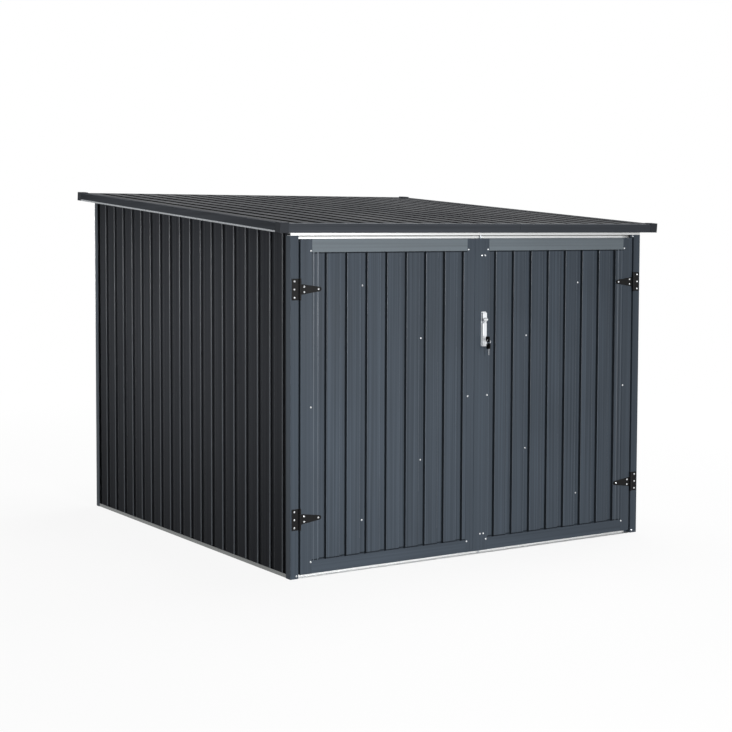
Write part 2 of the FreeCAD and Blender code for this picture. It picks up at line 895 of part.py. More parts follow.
def hinge_pins():
    """The pins of the four hinges."""
    return group([hinge_place(hinge_pin(), side, True, z)
                  for side in (-1, 1) for z in (hinge_low_z, hinge_high_z)])


# Handle, lock and keys; height is measured off the handle plate's face

def off_plate(height):
    """Depth of a point at a height off the handle plate."""
    return plate_front - height


def turned_about_spindle(radius, y0, y1):
    """Round bar on the spindle's axis."""
    return hole_y(handle_x, spindle_z, radius, y0, y1)


def with_handle_holes(shape):
    """Clears the spindle and the handle plate's two studs."""
    shape = shape.cut(turned_about_spindle(spindle_radius + spindle_room, strip_front - 1,
                                           front + door_depth / 2))
    for z in stud_heights:
        shape = shape.cut(hole_y(handle_x, z, stud_radius, strip_front - 1, front + 2))
    return shape


def handle_plate():
    """Plate behind the lever, with round corners, the spindle's bearing and two studs."""
    low = spindle_z + plate_end_margin - plate_length
    plate = box(handle_x - plate_width / 2, plate_front, low,
                handle_x + plate_width / 2, strip_front, low + plate_length)
    upright_edges = [e for e in plate.Edges if abs(e.tangentAt(e.FirstParameter).y) > 0.9]
    plate = plate.makeFillet(plate_corner_radius, upright_edges)
    plate = plate.cut(turned_about_spindle(spindle_radius + spindle_fit, plate_front - 1,
                                           strip_front + 1))
    studs = [hole_y(handle_x, z, stud_radius, strip_front, front + stud_length)
             for z in stud_heights]
    return joined([plate] + studs)


def handle_nuts():
    """Hexagon nuts on the studs, behind the stile's flange."""
    nuts = []
    for z in stud_heights:
        corners = [Vector(handle_x + nut_radius * math.cos(math.radians(60 * k)),
                          front + door_frame_sheet,
                          z + nut_radius * math.sin(math.radians(60 * k))) for k in range(6)]
        nut = extruded(corners, Vector(0, nut_height, 0))
        nuts.append(nut.cut(hole_y(handle_x, z, stud_radius, front, front + stud_length + 1)))
    return group(nuts)


def handle_hub():
    """Hub that turns on the plate, with two ears for the lever and the spindle behind."""
    half = hub_side / 2
    block = box(handle_x - half, off_plate(hub_height), spindle_z - half,
                handle_x + half, off_plate(hub_gap), spindle_z + half)
    top_edges = [e for e in block.Edges
                 if abs(e.CenterOfMass.y - off_plate(hub_height)) < 0.01]
    block = block.makeFillet(hub_edge_radius, top_edges)
    ears = []
    for side in (-1, 1):
        x0 = handle_x + side * (lever_knuckle_width / 2 + lever_side_gap)
        x1 = handle_x + side * half
        low = min(x0, x1)
        wide = abs(x1 - x0)
        profile = [
            (lever_pivot_rise - ear_radius, pivot_z),
            (hub_gap + 1, spindle_z - half + 2),
            (hub_height - hub_edge_radius, spindle_z - half + 2),
            (lever_pivot_rise + ear_radius, pivot_z),
        ]
        web = extruded([Vector(low, off_plate(h), z) for h, z in profile], Vector(wide, 0, 0))
        eye = Part.makeCylinder(ear_radius, wide, Vector(low, off_plate(lever_pivot_rise), pivot_z),
                                Vector(1, 0, 0))
        ears.append(web.fuse(eye))
    spindle = turned_about_spindle(spindle_radius, off_plate(hub_gap) - 1, front + cam_front)
    square = box(handle_x - spindle_side / 2, front + cam_front, spindle_z - spindle_side / 2,
                 handle_x + spindle_side / 2, front + cam_back, spindle_z + spindle_side / 2)
    hub = joined([block] + ears + [spindle, square])
    return hub.cut(Part.makeCylinder(lever_pin_radius, hub_side + 2,
                                     Vector(handle_x - half - 1, off_plate(lever_pivot_rise),
                                            pivot_z), Vector(1, 0, 0)))


def lever_pin():
    """Pin through the hub's ears that the lever folds out on."""
    return Part.makeCylinder(lever_pin_radius, hub_side,
                             Vector(handle_x - hub_side / 2, off_plate(lever_pivot_rise), pivot_z),
                             Vector(1, 0, 0))


def handle_lever():
    """Lever: a knuckle between the ears, a raised neck and a flat grip bored for the lock."""
    low = spindle_z + plate_end_margin - plate_length
    top = pivot_z - neck_drop
    grip = box(handle_x - lever_width / 2, off_plate(lever_clearance + lever_thickness), low,
               handle_x + lever_width / 2, off_plate(lever_clearance), top)
    face_y = off_plate(lever_clearance + lever_thickness)
    front_edges = [e for e in grip.Edges if abs(e.CenterOfMass.y - face_y) < 0.01]
    grip = grip.makeFillet(lever_edge_radius, front_edges)
    neck_profile = [
        (lever_clearance + 1, top - neck_root),
        (lever_thickness - 1, top - neck_root),
        (lever_pivot_rise + lever_knuckle_radius - 0.4, pivot_z - 2.5),
        (lever_pivot_rise - lever_knuckle_radius + 0.4, pivot_z - 2.5),
    ]
    start = handle_x - lever_knuckle_width / 2
    neck = extruded([Vector(start, off_plate(h), z) for h, z in neck_profile],
                    Vector(lever_knuckle_width, 0, 0))
    knuckle = Part.makeCylinder(lever_knuckle_radius, lever_knuckle_width,
                                Vector(start, off_plate(lever_pivot_rise), pivot_z),
                                Vector(1, 0, 0))
    lever = joined([grip, neck, knuckle])
    bore = Part.makeCylinder(lever_pin_radius + spindle_fit, lever_knuckle_width + 2,
                             Vector(start - 1, off_plate(lever_pivot_rise), pivot_z),
                             Vector(1, 0, 0))
    lock_hole = hole_y(handle_x, lock_z, lock_radius + lock_fit, face_y - 1,
                       off_plate(lock_floor))
    return lever.cut(bore).cut(lock_hole)


def lock_plug():
    """Plug that the key turns, with its keyway."""
    plug = hole_y(handle_x, lock_z, lock_radius, off_plate(lock_face),
                  off_plate(lock_floor + seat_gap))
    return plug.cut(blade_box(0.0))


def blade_box(extra):
    """The key's blade, from the keyway's floor to the bow."""
    return box(handle_x - key_blade_thickness / 2 - extra, off_plate(bow_near),
               lock_z - key_blade_width / 2 - extra,
               handle_x + key_blade_thickness / 2 + extra, off_plate(lock_face - keyway_depth),
               lock_z + key_blade_width / 2 + extra)


def bow(y, z):
    """Rounded key bow in the plane across X, centred on a point, without its hole."""
    solid = box(handle_x - key_bow_thickness / 2, y - key_bow_length / 2, z - key_bow_width / 2,
                handle_x + key_bow_thickness / 2, y + key_bow_length / 2, z + key_bow_width / 2)
    edges = [e for e in solid.Edges if abs(e.tangentAt(e.FirstParameter).x) > 0.9]
    return solid.makeFillet(bow_corner_radius, edges)


def bow_hole(y, z):
    """Cutter for a bow's ring hole."""
    return Part.makeCylinder(key_hole_radius, key_bow_thickness + 2,
                             Vector(handle_x - key_bow_thickness / 2 - 1, y, z), Vector(1, 0, 0))


def key_bow():
    """Bow of the key in the lock."""
    centre = off_plate(bow_near + key_bow_length / 2)
    return bow(centre, lock_z).cut(bow_hole(ring_y, lock_z))


def key_ring():
    """Wire ring that hangs in the bow's hole."""
    return Part.makeTorus(ring_radius, ring_wire_radius, Vector(handle_x, ring_y, ring_z),
                          Vector(0, 1, 0))


def spare_key_bow():
    """Bow of the spare key, hanging on the ring."""
    centre = spare_hole_z + key_hole_inset - key_bow_width / 2
    return bow(ring_y, centre).cut(bow_hole(ring_y, spare_hole_z))


def spare_key_blade():
    """Blade of the spare key, pointing down, cut with a few teeth."""
    top = spare_hole_z + key_hole_inset - key_bow_width
    x0 = handle_x - key_blade_thickness / 2
    back = ring_y - key_blade_width / 2
    points = [Vector(x0, back, top), Vector(x0, back, top - spare_blade_length)]
    tooth = spare_blade_length / (2 * key_teeth + 1)
    edge = ring_y + key_blade_width / 2
    for k in range(2 * key_teeth):
        depth_in = key_tooth_depth if k % 2 == 0 else 0
        points.append(Vector(x0, edge - depth_in, top - spare_blade_length + tooth * (k + 0.5)))
    points.append(Vector(x0, edge, top))
    return extruded(points, Vector(key_blade_thickness, 0, 0))


# Rods and their cam

def spiral_point(turn, offset):
    """Point on the slot's middle line, where a full quarter turn draws a rod by its throw."""
    angle = math.radians(90) * turn
    radius = cam_inner_radius + rod_throw * turn
    slope = rod_throw / math.radians(90)
    length = math.hypot(radius, slope)
    along_x = (slope * math.cos(angle) - radius * math.sin(angle)) / length
    along_z = (slope * math.sin(angle) + radius * math.cos(angle)) / length
    x = radius * math.cos(angle) + offset * along_z
    z = radius * math.sin(angle) - offset * along_x
    return Vector(x, 0, z)


def spiral_slot():
    """Cutter for one slot: a band round a spiral whose radius grows evenly with the turn."""
    half = cam_pin_radius + cam_slot_fit
    steps = [k / slot_steps for k in range(slot_steps + 1)]
    outer = Part.BSplineCurve()
    outer.interpolate([spiral_point(t, half) for t in steps])
    inner = Part.BSplineCurve()
    inner.interpolate([spiral_point(t, -half) for t in steps])
    edges = [outer.toShape(), inner.toShape()]
    edges.append(slot_end(1, half, 1))
    edges.append(slot_end(0, half, -1))
    wire = Part.Wire(Part.sortEdges(edges)[0])
    return Part.Face(wire).extrude(Vector(0, cam_thickness + 2, 0))


def slot_end(turn, half, way):
    """Round end of a slot."""
    a = spiral_point(turn, half)
    b = spiral_point(turn, -half)
    middle = (a + b) * 0.5
    step = spiral_point(turn + 0.001 * way, 0) - spiral_point(turn, 0)
    step.normalize()
    return Part.Arc(a, middle + step * half, b).toShape()


def rod_cam():
    """Disc on the spindle with two spiral slots that draw both rods in evenly."""
    disc = turned_about_spindle(cam_radius, front + cam_front, front + cam_back)
    slot = spiral_slot()
    slot.translate(Vector(handle_x, front + cam_front - 1, spindle_z))
    twin = slot.copy()
    twin.rotate(Vector(handle_x, 0, spindle_z), Vector(0, 1, 0), 180)
    square = box(handle_x - spindle_side / 2, front + cam_front - 1, spindle_z - spindle_side / 2,
                 handle_x + spindle_side / 2, front + cam_back + 1, spindle_z + spindle_side / 2)
    return disc.cut(slot).cut(twin).cut(square)


def rod(up):
    """A rod with its flat tang and the pin that rides in the cam; up is 1 or -1."""
    pin_z = spindle_z + up * cam_outer_radius
    round_start = spindle_z + up * (cam_radius + rod_throw + 1)
    end = post_height - rod_end_gap if up > 0 else frame_sheet + rod_end_gap
    bar = hole_z(handle_x, rod_y, rod_radius, min(round_start, end), max(round_start, end))
    tang_y = front + cam_back + tang_gap
    inner = pin_z - up * tang_past_pin
    outer = round_start + up * tang_width
    tang = box(handle_x - tang_width / 2, tang_y, min(inner, outer),
               handle_x + tang_width / 2, tang_y + tang_thickness, max(inner, outer))
    pin = hole_y(handle_x, pin_z, cam_pin_radius, front + cam_front, tang_y)
    return joined([tang, bar, pin])


def rod_guides():
    """Two blocks in the meeting stile that the rods slide through."""
    blocks = []
    for z in (door_bottom + guide_inset, door_top - guide_inset):
        block = box(handle_x - guide_half_width, front + door_frame_sheet, z - guide_height / 2,
                    handle_x + guide_half_width, front + guide_depth, z + guide_height / 2)
        block = block.cut(hole_z(handle_x, rod_y, rod_radius + rod_fit, z - guide_height,
                                 z + guide_height))
        blocks.append(drilled(block, guide_screw_places(), strip_front))
    return group(blocks)


def sides():
    """The two sides of the locker with their names."""
    return (("left", -1), ("right", 1))


def frame_pieces():
    """Posts, rails, walls and roof, by name."""
    pieces = {
        "back_post": back_post(), "base_rail": side_base_rail(),
        "wall_sheet": side_sheet(), "top_rail": side_top_rail(), "mid_rail": side_mid_rail(),
        "roof_trim": side_trim(),
    }
    named = {}
    for name, shape in pieces.items():
        named[name + "_left"] = shape
        named[name + "_right"] = mirrored(shape)
    named.update({
        "front_post_left": front_post(-1), "front_post_right": front_post(1),
        "base_rail_back": back_base_rail(), "wall_sheet_back": back_sheet(),
        "top_rail_back": back_top_rail(), "mid_rail_back": back_mid_rail(),
        "threshold": threshold(), "top_rail_front": front_top_rail(),
        "roof_purlins": purlins(), "roof_sheet": roof_sheet(), "roof_trim_front": front_trim(),
        "roof_trim_back": back_trim(), "roof_corner_caps": corner_caps(),
        "frame_screws": frame_screws(),
    })
    return named


def door_pieces():
    """Both doors and their hinges, by name."""
    named = {}
    for name, side in sides():
        named["door_hinge_stile_" + name] = hinge_stile(side)
        named["door_meeting_stile_" + name] = meeting_stile(side)
        named["door_top_rail_" + name] = cross_rail(side, True)
        named["door_bottom_rail_" + name] = cross_rail(side, False)
        named["door_sheet_" + name] = door_sheet(side)
        named["door_braces_" + name] = braces(side)
        named["door_screws_" + name] = door_screws(side)
        named["hinge_straps_" + name] = hinge_straps(side)
    named["hinge_leaves"] = hinge_leaves()
    named["hinge_pins"] = hinge_pins()
    return named


def lock_pieces():
    """Handle, lock, keys and rods, by name."""
    return {
        "door_cover_strip": cover_strip(), "handle_plate": handle_plate(),
        "handle_nuts": handle_nuts(), "handle_hub": handle_hub(), "lever_pin": lever_pin(),
        "handle_lever": handle_lever(), "lock_plug": lock_plug(), "key_blade": blade_box(0.0),
        "key_bow": key_bow(), "key_ring": key_ring(), "spare_key_bow": spare_key_bow(),
        "spare_key_blade": spare_key_blade(), "rod_cam": rod_cam(), "rod_top": rod(1),
        "rod_bottom": rod(-1), "rod_guides": rod_guides(),
    }


def main():
    os.makedirs("parts", exist_ok=True)
    pieces = {}
    pieces.update(frame_pieces())
    pieces.update(door_pieces())
    pieces.update(lock_pieces())
    for name, shape in pieces.items():
        save(shape, name)
    print(len(pieces), "pieces")


main()
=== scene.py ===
import json
import math

import bmesh
import bpy
from bpy.props import (FloatProperty, FloatVectorProperty, IntProperty, PointerProperty,
                       StringProperty)
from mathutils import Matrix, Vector

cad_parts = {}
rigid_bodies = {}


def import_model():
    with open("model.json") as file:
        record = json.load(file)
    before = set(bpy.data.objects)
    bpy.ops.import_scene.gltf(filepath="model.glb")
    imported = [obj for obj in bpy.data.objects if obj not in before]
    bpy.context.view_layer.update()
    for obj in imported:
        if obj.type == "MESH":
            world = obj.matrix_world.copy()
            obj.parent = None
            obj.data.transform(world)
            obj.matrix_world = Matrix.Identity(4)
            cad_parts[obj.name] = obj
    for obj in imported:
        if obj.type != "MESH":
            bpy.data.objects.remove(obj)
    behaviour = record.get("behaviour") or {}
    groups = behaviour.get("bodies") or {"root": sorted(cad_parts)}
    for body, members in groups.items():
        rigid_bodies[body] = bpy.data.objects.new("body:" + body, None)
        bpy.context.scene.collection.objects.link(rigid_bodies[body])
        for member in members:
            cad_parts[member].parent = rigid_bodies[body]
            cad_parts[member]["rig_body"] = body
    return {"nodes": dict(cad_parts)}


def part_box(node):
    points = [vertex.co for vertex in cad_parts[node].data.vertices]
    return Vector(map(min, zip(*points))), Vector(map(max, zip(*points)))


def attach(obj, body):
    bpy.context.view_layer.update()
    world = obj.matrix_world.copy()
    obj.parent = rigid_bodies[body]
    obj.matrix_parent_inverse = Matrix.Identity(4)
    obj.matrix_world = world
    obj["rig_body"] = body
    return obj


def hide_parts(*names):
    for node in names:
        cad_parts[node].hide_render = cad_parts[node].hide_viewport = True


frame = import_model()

bl_info = {
    "name": "Bicycle locker looks",
    "version": (1, 0, 0),
    "blender": (4, 5, 0),
    "location": "3D View > Sidebar > Locker",
    "description": "Dresses the packed bicycle locker and sets up its studio",
    "category": "Object",
}

MM = 0.001
SIDES = ("left", "right")

# Gauges of the ribbed sheets, of the trims and door frames, and of the posts and rails
RIBBED = 0.6 * MM
FOLDED = 1.0 * MM
HEAVY = 1.2 * MM

# Points closer than MERGED are one point, a point within TOUCH of a cut lies on it, and faces
# that turn by less than FLAT are one face
MERGED = 0.002 * MM
TOUCH = 0.01 * MM
FLAT = math.radians(0.6)


# Settings

class LockerPaint(bpy.types.PropertyGroup):
    door: StringProperty(name="Doors", description="Powder coating of the doors", default="464f59")
    # Lighter than the doors: painted light on the doors' top rails.
    top_rail_lit: StringProperty(name="Door rails", description="Coating of the doors' top rails, lightened as painted light",
                              default="747e85")
    wall: StringProperty(name="Walls", description="Powder coating of the walls", default="3d3f43")
    roof: StringProperty(name="Roof", description="Powder coating of the roof sheet",
                         default="2c2e32")
    # Lighter than the cross trims: painted light on the roof's shaded sides.
    trim: StringProperty(name="Trims", description="Powder coating of the roof's side trims, lightened as painted light",
                         default="4f5257")
    brow: StringProperty(name="Cross trims",
                         description="Powder coating of the front and back trims",
                         default="474b51")
    hinge: StringProperty(name="Hinges", description="Coating of the hinges", default="101011")
    # Near black: painted shade on the roof ribs' walls.
    roof_rib_shade: StringProperty(name="Roof grooves",
                                description="Painted shade on the roof ribs' walls",
                                default="0c0d0e")
    # Lighter than the walls: a painted highlight on the ribs' bends.
    wall_bend_highlight: StringProperty(name="Wall bends",
                              description="Painted highlight on the walls' bends",
                              default="4a4f55")
    # Lighter than the doors: a painted highlight on the doors' bends and beads.
    door_bend_highlight: StringProperty(name="Door bends",
                              description="Painted highlight on the doors' bends",
                              default="525c67")
    # Dark: painted shade on the door grooves' walls.
    groove_shade: StringProperty(name="Grooves",
                           description="Painted shade on the door grooves' walls",
                           default="2d3238")
    rail: StringProperty(name="Rails", description="Zinc of the rails in the doorway",
                         default="eceded")
    # Grey: painted shadow under the top rail's fold.
    fold: StringProperty(name="Rail fold", description="Painted shadow in the fold of the top rail",
                         default="9c9c9b")
    # Light grey: painted highlight along the side trims' hems.
    hem: StringProperty(name="Trim hems", description="Painted highlight along the hems of the side trims",
                        default="a4a8ac")
    # Darker than the doorway rails: on the base rails this is painted shade.
    inner: StringProperty(name="Inner rails", description="Zinc of the base rails and inner rails",
                          default="7b7d7c")
    handle: StringProperty(name="Handle", description="Coating of the handle", default="dfe2e5")
    key: StringProperty(name="Key bows", description="Plastic of the key bows", default="0b0b0c")
    cap: StringProperty(name="Caps", description="Plastic of the roof's corner caps",
                        default="3f4247")
    screw: StringProperty(name="Screws", description="Zinc plating of the screws",
                          default="cdcfd1")
    plug: StringProperty(name="Lock plug", description="Chrome of the lock plug", default="dcdee0")
    steel: StringProperty(name="Steel", description="Bright steel of pin, keys and ring",
                          default="c9cbce")
    rod: StringProperty(name="Rods", description="Zinc plating of the rods, guides and cam",
                        default="b9bcc0")
    ripple: FloatProperty(name="Ripple", description="Height of the waves in the thin sheet",
                          default=0.5 * MM, unit="LENGTH")
    ripple_length: FloatProperty(name="Ripple length", description="Distance between two waves",
                                 default=240 * MM, unit="LENGTH")
    streak: FloatProperty(name="Streaks", description="Distance between two rolling streaks",
                          default=10 * MM, unit="LENGTH")
    streak_run: FloatProperty(name="Streak run", description="Length of one rolling streak",
                              default=1400 * MM, unit="LENGTH")
    streak_depth: FloatProperty(name="Streak depth", description="Depth of the rolling streaks",
                                default=0.16 * MM, unit="LENGTH")
    grain: FloatProperty(name="Grain", description="Distance between two grains of the coating",
                         default=1.6 * MM, unit="LENGTH")


class LockerSheet(bpy.types.PropertyGroup):
    rib_bend: FloatProperty(name="Rib bend", description="Inner radius of the wall sheets' bends",
                            default=2.2 * MM, unit="LENGTH")
    board_bend: FloatProperty(name="Board bend", description="Inner radius of the doors' bends",
                              default=1.0 * MM, unit="LENGTH")
    roof_bend: FloatProperty(name="Roof bend",
                             description="Inner radius of the roof sheet's bends",
                             default=0.6 * MM, unit="LENGTH")
    fold_bend: FloatProperty(name="Fold bend", description="Inner radius of the folded members",
                             default=1.2 * MM, unit="LENGTH")
    segments: IntProperty(name="Segments", description="Faces round one bend", default=3)
    roof_fall: FloatProperty(name="Roof fall", description="Slope of the roof and its side trims",
                             default=math.radians(4.65), subtype="ANGLE")
    hem_height: FloatProperty(name="Hem height", description="Height of the side trims' hems",
                              default=7 * MM, unit="LENGTH")
    hem_rise: FloatProperty(name="Hem rise", description="How far a hem or a bead stands out",
                            default=0.8 * MM, unit="LENGTH")
    bead_width: FloatProperty(name="Bead width",
                              description="Width of a bead in a door's outermost board",
                              default=4 * MM, unit="LENGTH")
    # A dark strip along each door rail: a painted shadow of the rail's edge on the boards.
    joint: FloatProperty(name="Rail shadow", description="Height of the painted shadow along a door's rails",
                         default=5 * MM, unit="LENGTH")
    bead_place: FloatVectorProperty(name="Bead places",
                                    description="From the middle of the doorway",
                                    default=(808 * MM, 788 * MM), size=2, unit="LENGTH")
    screw_radius: FloatProperty(name="Screw head", description="Radius of a pan head",
                                default=4.2 * MM, unit="LENGTH")
    screw_height: FloatProperty(name="Screw head height", description="Height of a pan head",
                                default=2.4 * MM, unit="LENGTH")


class LockerStage(bpy.types.PropertyGroup):
    camera: FloatVectorProperty(name="Camera", description="Place of the camera",
                                default=(-3.9189, -5.8531, 1.3629), subtype="TRANSLATION")
    yaw: FloatProperty(name="Yaw", description="Turn of the camera from +Y to +X",
                       default=math.radians(30.755), subtype="ANGLE")
    pitch: FloatProperty(name="Pitch", description="Tilt of the camera below the horizon",
                         default=math.radians(3.286), subtype="ANGLE")
    focal_px: FloatProperty(name="Focal length", description="In pixels of the frame",
                            default=1498.2, subtype="PIXEL")
    centre_px: FloatVectorProperty(name="Principal point", description="In pixels of the frame",
                                   default=(274.86, 315.96), size=2)
    frame_px: FloatProperty(name="Frame", description="Side of the frame", default=732.0,
                            subtype="PIXEL")
    key_power: FloatProperty(name="Key", description="Power of the front light", default=31.0,
                             unit="POWER")
    gloss_power: FloatProperty(name="Gloss",
                               description="Power of the low light that the doors mirror",
                               default=165.0, unit="POWER")
    top_power: FloatProperty(name="Top", description="Power of the light over the roof",
                             default=300.0, unit="POWER")
    left_power: FloatProperty(name="Left", description="Power of the light on the left wall",
                              default=6.3, unit="POWER")
    back_power: FloatProperty(name="Back",
                              description="Power of each light on the right and at the back",
                              default=300.0, unit="POWER")
    sky: FloatProperty(name="Sky", description="Light from the surroundings", default=0.08,
                       subtype="FACTOR")
    floor_tone: FloatProperty(name="Floor", description="Share of light that the floor sends back",
                              default=0.10, subtype="FACTOR")
    floor_reach: FloatProperty(name="Floor reach",
                               description="Where the floor turns to plain white",
                               default=6.0, unit="LENGTH")


# Helpers for materials

# Clouds and peel of the coating, crystals of the zinc, grain of metal and of a mould's texture
CLOUD = 420 * MM
PEEL_DEPTH = 0.012 * MM
SPANGLE = 7 * MM
METAL_GRAIN, METAL_DEPTH = 1.2 * MM, 0.01 * MM
MOULD_GRAIN, MOULD_DEPTH = 0.5 * MM, 0.03 * MM

# Roughness of a surface's smoothest and roughest patches
POLISHED, SATIN, MATT = (0.26, 0.32), (0.36, 0.48), (0.6, 0.7)


def linear(code, gain=1.0):
    """Linear colour of an sRGB code such as 5b6673, made lighter or darker by a gain."""
    values = [int(code[i:i + 2], 16) / 255 for i in (0, 2, 4)]
    values = [v / 12.92 if v <= 0.04045 else ((v + 0.055) / 1.055) ** 2.4 for v in values]
    return [min(1.0, v * gain) for v in values] + [1.0]


def add(tree, kind, inputs=None, **settings):
    """Adds a node; each input is given a socket to link or a value to hold."""
    node = tree.nodes.new(kind)
    for name, value in settings.items():
        setattr(node, name, value)
    for name, value in (inputs or {}).items():
        if isinstance(value, bpy.types.NodeSocket):
            tree.links.new(value, node.inputs[name])
        else:
            node.inputs[name].default_value = value
    return node


def shader(name, **values):
    """New material with its shader's constants set."""
    material = bpy.data.materials.new(name)
    material.use_nodes = True
    tree = material.node_tree
    bsdf = tree.nodes["Principled BSDF"]
    for key, value in values.items():
        bsdf.inputs[key.replace("_", " ")].default_value = value
    return material, tree, bsdf


def coated(name, code, paint, rolled="Z", gloss=0.15, rough=SATIN, tint=0.16):
    """Powder coating on rolled steel, with streaks along the roll, faint clouds and waves.

    Real streaks lie closer and real peel is finer: both are as coarse as they need to show.
    """
    material, tree, bsdf = shader(name, Specular_IOR_Level=gloss)
    place = add(tree, "ShaderNodeTexCoord").outputs["Object"]
    scale = [1 / paint.streak] * 3
    scale["XYZ".index(rolled)] = 1 / paint.streak_run
    run = add(tree, "ShaderNodeMapping", {"Vector": place, "Scale": scale}).outputs["Vector"]
    streak = add(tree, "ShaderNodeTexNoise", {"Vector": run, "Scale": 1.0, "Detail": 2.0})
    cloud = add(tree, "ShaderNodeTexNoise", {"Vector": place, "Scale": 1 / CLOUD})
    wave = add(tree, "ShaderNodeTexNoise",
               {"Vector": place, "Scale": 1 / paint.ripple_length, "Detail": 1.0})
    grain = add(tree, "ShaderNodeTexNoise",
                {"Vector": place, "Scale": 1 / paint.grain, "Detail": 1.0})
    # The streaks carry most of the tone, and the clouds three tenths as much.
    both = add(tree, "ShaderNodeMath", {0: cloud.outputs["Fac"], 1: 0.3,
                                        2: streak.outputs["Fac"]}, operation="MULTIPLY_ADD")
    tone = add(tree, "ShaderNodeMapRange", {"Value": both.outputs[0], "From Min": 0.40,
                                            "From Max": 0.90})
    base = add(tree, "ShaderNodeMix", {"Factor": tone.outputs["Result"],
                                       6: linear(code, 1 - tint), 7: linear(code, 1 + tint)},
               data_type="RGBA")
    tree.links.new(base.outputs[2], bsdf.inputs["Base Color"])
    patch = add(tree, "ShaderNodeMapRange", {"Value": cloud.outputs["Fac"], "From Min": 0.3,
                                             "From Max": 0.7, "To Min": rough[0],
                                             "To Max": rough[1]})
    tree.links.new(patch.outputs["Result"], bsdf.inputs["Roughness"])
    height = 0.0
    for source, size in ((wave, paint.ripple), (streak, paint.streak_depth), (grain, PEEL_DEPTH)):
        height = add(tree, "ShaderNodeMath", {0: source.outputs["Fac"], 1: size, 2: height},
                     operation="MULTIPLY_ADD").outputs[0]
    relief = add(tree, "ShaderNodeBump", {"Height": height, "Distance": 1.0})
    tree.links.new(relief.outputs["Normal"], bsdf.inputs["Normal"])
    return material


def zinc(name, code, spangle=0.06, metallic=0.8, rough=(0.26, 0.36)):
    """Hot-dip zinc: flat crystals a few millimetres wide, each a little lighter or darker."""
    material, tree, bsdf = shader(name, Metallic=metallic)
    place = add(tree, "ShaderNodeTexCoord").outputs["Object"]
    cells = add(tree, "ShaderNodeTexVoronoi", {"Vector": place, "Scale": 1 / SPANGLE})
    split = add(tree, "ShaderNodeSeparateColor", {"Color": cells.outputs["Color"]})
    base = add(tree, "ShaderNodeMix", {"Factor": split.outputs["Red"],
                                       6: linear(code, 1 - spangle), 7: linear(code, 1 + spangle)},
               data_type="RGBA")
    tree.links.new(base.outputs[2], bsdf.inputs["Base Color"])
    sheen = add(tree, "ShaderNodeMapRange", {"Value": split.outputs["Green"], "To Min": rough[0],
                                             "To Max": rough[1]})
    tree.links.new(sheen.outputs["Result"], bsdf.inputs["Roughness"])
    return material


def grained(tree, bsdf, grain, rough, depth):
    """Lets a fine grain change a shader's roughness and stand out by a depth."""
    sheen = add(tree, "ShaderNodeMapRange", {"Value": grain, "From Min": 0.3, "From Max": 0.7,
                                             "To Min": rough[0], "To Max": rough[1]})
    tree.links.new(sheen.outputs["Result"], bsdf.inputs["Roughness"])
    relief = add(tree, "ShaderNodeBump", {"Height": grain, "Distance": depth})
    tree.links.new(relief.outputs["Normal"], bsdf.inputs["Normal"])


def metal(name, code, rough, metallic=1.0, brush=(1, 1, 1)):
    """Bare, plated or silver-coated metal with a grain, drawn out along its brushing.

    The real grain is finer: it is as coarse as it needs to show close up.
    """
    material, tree, bsdf = shader(name, Metallic=metallic, Base_Color=linear(code))
    place = add(tree, "ShaderNodeTexCoord").outputs["Object"]
    scale = [b / METAL_GRAIN for b in brush]
    run = add(tree, "ShaderNodeMapping", {"Vector": place, "Scale": scale}).outputs["Vector"]
    grain = add(tree, "ShaderNodeTexNoise", {"Vector": run, "Scale": 1.0, "Detail": 3.0})
    grained(tree, bsdf, grain.outputs["Fac"], rough, METAL_DEPTH)
    return material


def plastic(name, code, rough=(0.42, 0.6)):
    """Moulded plastic with the fine matt texture of its mould.

    The real texture is finer: it is as coarse as it needs to show close up.
    """
    material, tree, bsdf = shader(name, Base_Color=linear(code), Specular_IOR_Level=0.06)
    place = add(tree, "ShaderNodeTexCoord").outputs["Object"]
    grain = add(tree, "ShaderNodeTexNoise", {"Vector": place, "Scale": 1 / MOULD_GRAIN})
    grained(tree, bsdf, grain.outputs["Fac"], rough, MOULD_DEPTH)
    return material


# Helpers for pieces

def finished(piece, node, *materials):
    """Gives a new piece its materials and slot, the node it stands for and that node's body."""
    for material in materials:
        piece.data.materials.append(material)
    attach(piece, frame["nodes"][node]["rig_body"])
    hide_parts(node)
    return piece


def thickness_of(face):
    """Twice a face's area over its rim: near the sheet's gauge on a cut edge."""
    rim = sum(edge.calc_length() for edge in face.edges)
    return 2 * face.calc_area() / rim


def welded(node):
    """A CAD node's own surface with its points joined."""
    bm = bmesh.new()
    bm.from_mesh(frame["nodes"][node].data)
    bmesh.ops.remove_doubles(bm, verts=bm.verts[:], dist=MERGED)
    return bm


def whole_faces(node):
    """A CAD node's own surface with its flat faces whole again."""
    bm = welded(node)
    bmesh.ops.dissolve_limit(bm, angle_limit=FLAT, verts=bm.verts[:], edges=bm.edges[:])
    return bm


def smoothed(name, bm, angle=34):
    """New piece from a mesh, smooth but for its sharp edges, with weighted normals."""
    mesh = bpy.data.meshes.new(name)
    piece = bpy.data.objects.new(name, mesh)
    bpy.context.scene.collection.objects.link(piece)
    bm.normal_update()
    bm.to_mesh(mesh)
    bm.free()
    for polygon in mesh.polygons:
        polygon.use_smooth = True
    mesh.set_sharp_from_angle(angle=math.radians(angle))
    weights = piece.modifiers.new("Weighted normals", "WEIGHTED_NORMAL")
    weights.keep_sharp = True
    weights.weight = 80
    return piece


def rounded(bm, edges, size, segments, index=-1):
    """Rounds edges; the new faces get the material of an index, or their neighbours'."""
    bmesh.ops.bevel(bm, geom=edges, offset=size, offset_type="OFFSET", segments=segments,
                    profile=0.5, affect="EDGES", clamp_overlap=True, material=index)


